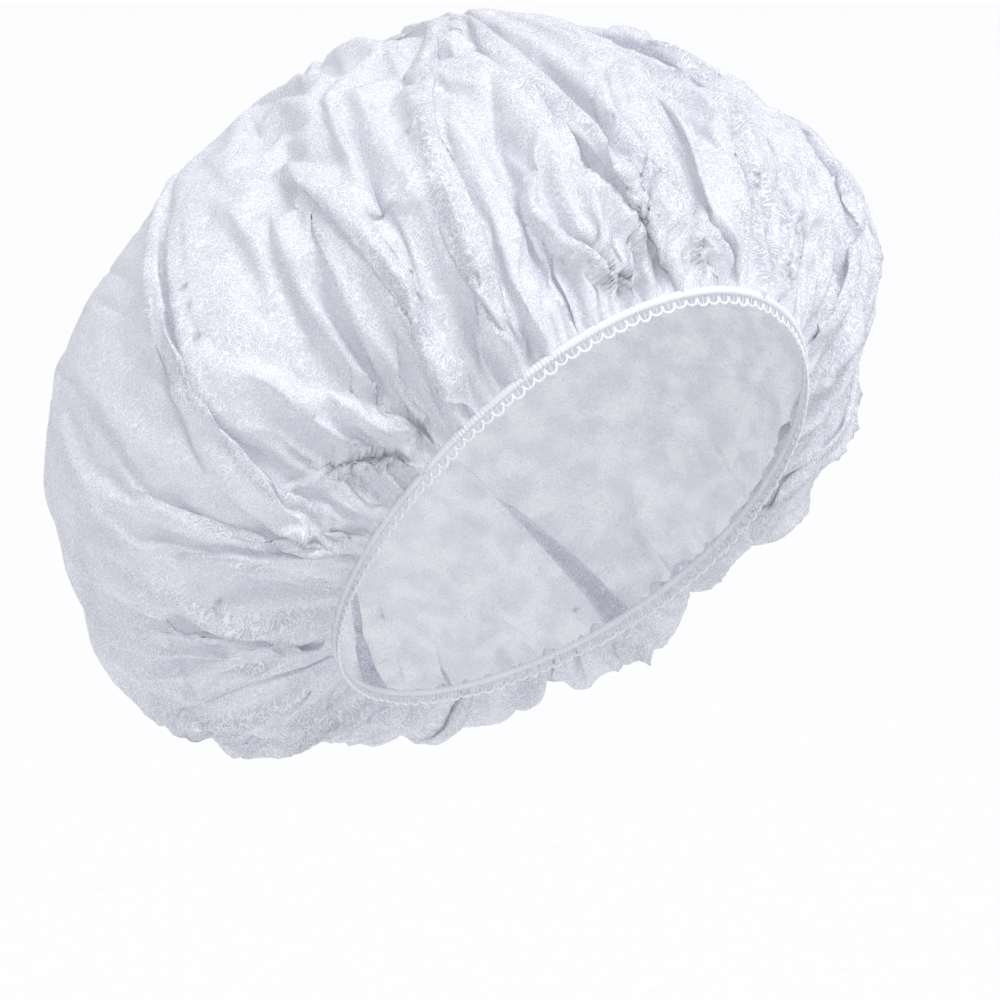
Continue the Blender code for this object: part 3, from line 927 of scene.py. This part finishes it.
class CapClothSizes(bpy.types.PropertyGroup):
    cut_diameter: length("Cut diameter", "Across the flat round of cloth", 0.61, 0.4)
    hem_turn: length("Hem turn", "Width of cloth turned under round the elastic", 0.010)
    rings: IntProperty(name="Rings", description="Rings of points that settle, half as many as are shown",
                       default=90, min=12)
    frames: IntProperty(name="Frames", description="Steps that the cloth settles for", default=25, min=2)
    form_hold: portion("Form hold", "How firmly the gathered form is kept", 0.18)
    stiffness: FloatProperty(name="Stiffness", description="Resistance to stretch", default=15.0, min=0.0)
    bending: FloatProperty(name="Bending", description="Resistance to bending", default=2.0, min=0.0)
    outline_share: portion("Outline kept", "Share of the broad drift taken back", 0.8)
    outline_rounds: IntProperty(name="Outline smoothing", description="Rounds of averaging of the drift",
                                default=60, min=1)
    softening: IntProperty(name="Softening", description="Rounds of averaging of the small wrinkles",
                           default=1, min=0)
    rim_calm: FloatProperty(name="Rim calm", description="Share of the way to the top over which the "
                            "settling fades toward the rim", default=0.12, min=0.001)
    tint: colour("Cloth", "Colour of the cloth between the fibres", (0.70, 0.71, 0.785))
    fibre_tint: colour("Fibres", "Colour of the fibres", (0.88, 0.887, 0.94))
    opacity: portion("Opacity", "How much a single layer hides", 0.62)
    cloud_size: length("Cloud size", "Spacing of thick and thin spots", 0.012, 0.001)
    cloud_depth: portion("Cloud depth", "Change of opacity between the spots", 0.20)
    fibre_spacing: length("Fibre spacing", "Spacing of the curly fibres", 0.0017, 0.0002)
    fibre_width: length("Fibre width", "Width of a bundle of fibres", 0.00010, 0.00001)
    fibre_depth: portion("Fibre depth", "Opacity that a fibre adds", 0.38)
    fibre_height: length("Fibre height", "Relief of a fibre", 0.00004)
    rim_depth: portion("Rim depth", "Opacity that the gathers add at the rim", 0.18)
    through_light: portion("Light through", "Share of the light let through the web", 0.15)


class CapHemSizes(bpy.types.PropertyGroup):
    width: length("Width", "Width of the hem along the cloth", 0.0026, 0.0005)
    thickness: length("Thickness", "Thickness of the hem over the elastic", 0.0019, 0.0005)
    ribs: IntProperty(name="Ribs", description="Gathers of the hem round the opening", default=420, min=8)
    rib_height: length("Rib height", "Relief of the gathers of the hem", 0.00016)
    stitches: IntProperty(name="Stitches", description="Overlock stitches round the hem", default=396, min=8)
    stitch_slant: FloatProperty(name="Stitch slant", description="Sideways run of a stitch",
                                default=0.0009, unit="LENGTH")
    thread_radius: length("Thread radius", "Radius of the stitching thread", 0.00012, 0.00002)
    tint: colour("Hem", "Colour of the hem", (0.80, 0.81, 0.87))


class CapEdgingSizes(bpy.types.PropertyGroup):
    scallops: IntProperty(name="Scallops", description="Scallops round the opening", default=136, min=8)
    drop: length("Drop", "From the hem to the lowest line of a scallop", 0.0029, 0.0005)
    valley: length("Valley", "From the hem to the dip between two scallops", 0.0008)
    cord_radius: length("Cord radius", "Radius of the cord along the edge", 0.00045, 0.00005)
    thread_radius: length("Thread radius", "Radius of the threads inside a scallop", 0.00013, 0.00002)
    seed: IntProperty(name="Seed", description="Seed of the small differences", default=4)
    tint: colour("Edging", "Colour of the edging thread", (0.80, 0.81, 0.86))


class CAP_OT_make_stage(bpy.types.Operator):
    """Sets the camera, the pale floor and the soft studio light"""

    bl_idname = "cap.make_stage"
    bl_label = "Stage"

    def execute(self, context):
        sizes = context.scene.cap_stage
        back = Vector(direction_to(sizes.azimuth, sizes.elevation))
        lens = bpy.data.cameras.new("camera")
        lens.lens = sizes.focal_length
        lens.sensor_width = 36.0
        lens.shift_x = sizes.shift_x
        lens.shift_y = sizes.shift_y
        lens.clip_end = 200.0
        camera = bpy.data.objects.new("camera", lens)
        camera.location = AIM + back * sizes.distance
        camera.rotation_euler = (math.pi / 2 - sizes.elevation, 0.0, sizes.azimuth)
        context.scene.collection.objects.link(camera)
        context.scene.camera = camera
        context.scene.view_settings.view_transform = "Standard"

        world = bpy.data.worlds.new("even_light")
        world.use_nodes = True
        tree = world.node_tree
        sky = tree.nodes["Background"]
        sky.inputs["Color"].default_value = (0.985, 0.99, 1.0, 1.0)
        sky.inputs["Strength"].default_value = sizes.sky_light
        backdrop = put(tree, "ShaderNodeBackground",
                       {"Color": (1.0, 1.0, 1.0, 1.0), "Strength": sizes.backdrop})
        seen = put(tree, "ShaderNodeLightPath").outputs["Is Camera Ray"]
        either = mix_shaders(tree, seen, sky.outputs["Background"], backdrop.outputs["Background"])
        feed(tree, tree.nodes["World Output"].inputs["Surface"], either)
        context.scene.world = world

        sun = bpy.data.lights.new("key_light", "SUN")
        sun.energy = sizes.key_light
        sun.angle = sizes.key_softness
        lamp = bpy.data.objects.new("key_light", sun)
        toward = Vector(direction_to(sizes.key_azimuth, sizes.key_elevation))
        lamp.rotation_euler = toward.to_track_quat("Z", "Y").to_euler()
        lamp.location = AIM + toward
        context.scene.collection.objects.link(lamp)

        corners = 96
        level = CAD_BOX[0][2] - sizes.floor_drop
        points = [(sizes.floor_radius * math.cos(2 * math.pi * number / corners),
                   sizes.floor_radius * math.sin(2 * math.pi * number / corners), level)
                  for number in range(corners)]
        floor = mesh_object("studio_floor", points, [tuple(range(corners))])
        floor.data.materials.append(floor_material(sizes.floor_tint))
        return {"FINISHED"}


class CAP_OT_make_cloth(bpy.types.Operator):
    """Gathers a flat round of nonwoven cloth onto the opening and lets it settle"""

    bl_idname = "cap.make_cloth"
    bl_label = "Gathered cloth"

    def execute(self, context):
        sizes = context.scene.cap_cloth
        inner = sizes.cut_diameter / 2 - sizes.hem_turn
        fine_flat, faces = cut_round(2 * sizes.rings, inner)
        shape, share = gathered_shape(fine_flat, inner)
        shape += refined(self.settle(inner, sizes), sizes.rings)
        item = mesh_object("gathered_cloth", shape, faces)
        self.mark(item.data, fine_flat, share, sizes)
        item.data.materials.append(nonwoven_material(sizes))
        item.data.shade_smooth()
        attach(item, "root")
        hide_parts("crown")
        return {"FINISHED"}

    def settle(self, inner, sizes):
        """How far each point of a coarser round moves as the cloth settles."""
        flat, faces = cut_round(sizes.rings, inner)
        start, share = gathered_shape(flat, inner)
        item = mesh_object("settling_cloth", start, faces)
        pairs = np.array([tuple(edge.vertices) for edge in item.data.edges])
        settled = settle_cloth(item, flat, share, sizes)
        bpy.data.objects.remove(item, do_unlink=True)
        moved = keep_outline(start, settled, pairs, share, sizes) - start
        moved = neighbour_mean(moved, pairs, len(start), sizes.softening)
        return moved * smooth_step(share / sizes.rim_calm)[:, None]

    def mark(self, mesh, flat, share, sizes):
        """Keeps each point's place on the cut, and how near it is to the rim."""
        layer = mesh.uv_layers.new(name="cut")
        corners = np.empty(len(mesh.loops), np.int32)
        mesh.loops.foreach_get("vertex_index", corners)
        place = (0.5 + flat / sizes.cut_diameter)[corners]
        layer.data.foreach_set("uv", place.astype(np.float32).ravel())
        rim = mesh.attributes.new("rim", "FLOAT", "POINT")
        rim.data.foreach_set("value", (1 - smooth_step(share / RIM_MARK)).astype(np.float32))


class CAP_OT_make_hem(bpy.types.Operator):
    """Rolls the hem over the elastic and stitches it"""

    bl_idname = "cap.make_hem"
    bl_label = "Elastic hem"

    def execute(self, context):
        sizes = context.scene.cap_hem
        item = self.bead(sizes)
        finish_mesh(item, thread_material("hem_cloth", sizes.tint, roughness=0.55, strand=0.0005))
        item.data.shade_smooth()
        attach(item, "root")
        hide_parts("elastic_band")

        stitches = loop_object("hem_stitches", HEM_START)
        thread = thread_material("stitch_thread", sizes.tint, roughness=0.40, strand=0.0003)
        run_tree(stitches, stitch_tree(), {
            "Count": sizes.stitches, "Width": sizes.width, "Slant": sizes.stitch_slant,
            "Rise": sizes.thickness * STITCH_RISE, "Thread Radius": sizes.thread_radius,
            "Seed": STITCH_SEED, "Material": thread})
        finish_mesh(stitches, thread)
        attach(stitches, "root")
        return {"FINISHED"}

    def bead(self, sizes):
        """Soft roll with gathers across it."""
        steps = sizes.ribs * RIB_STEPS
        shares = np.arange(steps) / steps
        around = even_angles(shares)
        down, out = band_frame(around)
        middle = band_line(around) - down * (HEM_START + sizes.width / 2)
        turn = 2 * math.pi * np.arange(HEM_SECTION) / HEM_SECTION
        whole = 2 * math.pi * shares
        uneven = slow_waves(RIB_HEIGHT_WAVES, whole, RIB_HEIGHT_SHIFT, 1.0)
        wave = np.cos(slow_waves(RIB_SPACING_WAVES, whole, 0.0, sizes.ribs * whole))
        rib = sizes.rib_height * uneven * wave
        across = (sizes.width / 2 + rib)[:, None] * np.cos(turn)
        proud = (sizes.thickness / 2 + rib)[:, None] * np.sin(turn)
        points = middle[:, None] + down[:, None] * across[..., None] + out[:, None] * proud[..., None]
        faces = []
        for row in range(steps):
            ahead = (row + 1) % steps
            for place in range(HEM_SECTION):
                beside = (place + 1) % HEM_SECTION
                faces.append((row * HEM_SECTION + place, row * HEM_SECTION + beside,
                              ahead * HEM_SECTION + beside, ahead * HEM_SECTION + place))
        return mesh_object("elastic_hem", points.reshape(-1, 3), faces)


class CAP_OT_make_edging(bpy.types.Operator):
    """Sews the looped edging along the hem"""

    bl_idname = "cap.make_edging"
    bl_label = "Looped edging"

    def execute(self, context):
        sizes = context.scene.cap_edging
        item = loop_object("looped_edging", EDGING_START)
        points = band_line(even_angles(np.arange(LOOP_POINTS) / LOOP_POINTS))
        whole = float(np.sum(np.linalg.norm(points - np.roll(points, 1, axis=0), axis=1)))
        thread = thread_material("edging_thread", sizes.tint, roughness=0.38, strand=0.0003)
        run_tree(item, scallop_tree(), {
            "Count": sizes.scallops, "Pitch": whole / sizes.scallops, "Drop": sizes.drop,
            "Valley": sizes.valley, "Cord Radius": sizes.cord_radius,
            "Thread Radius": sizes.thread_radius, "Seed": sizes.seed, "Material": thread})
        finish_mesh(item, thread)
        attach(item, "root")
        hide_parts("scalloped_edge")
        return {"FINISHED"}


class CAP_PT_parts(bpy.types.Panel):
    """Lists the parts of the cap with their sizes"""

    bl_idname = "CAP_PT_parts"
    bl_label = "Bouffant Cap"
    bl_space_type = "VIEW_3D"
    bl_region_type = "UI"
    bl_category = "Bouffant Cap"

    def draw(self, context):
        for operator, _, settings in PARTS:
            box = self.layout.box()
            box.operator(operator.bl_idname)
            group = getattr(context.scene, settings)
            for name in group.bl_rna.properties.keys():
                if name not in ("rna_type", "name"):
                    box.prop(group, name)


PARTS = (
    (CAP_OT_make_stage, CapStageSizes, "cap_stage"),
    (CAP_OT_make_cloth, CapClothSizes, "cap_cloth"),
    (CAP_OT_make_hem, CapHemSizes, "cap_hem"),
    (CAP_OT_make_edging, CapEdgingSizes, "cap_edging"),
)


def register():
    for operator, group, settings in PARTS:
        bpy.utils.register_class(group)
        setattr(bpy.types.Scene, settings, PointerProperty(type=group))
        bpy.utils.register_class(operator)
    bpy.utils.register_class(CAP_PT_parts)


def unregister():
    bpy.utils.unregister_class(CAP_PT_parts)
    for operator, group, settings in reversed(PARTS):
        bpy.utils.unregister_class(operator)
        delattr(bpy.types.Scene, settings)
        bpy.utils.unregister_class(group)


def main():
    register()
    bpy.ops.cap.make_stage()
    bpy.ops.cap.make_cloth()
    bpy.ops.cap.make_hem()
    bpy.ops.cap.make_edging()


if __name__ == "__main__":
    main()
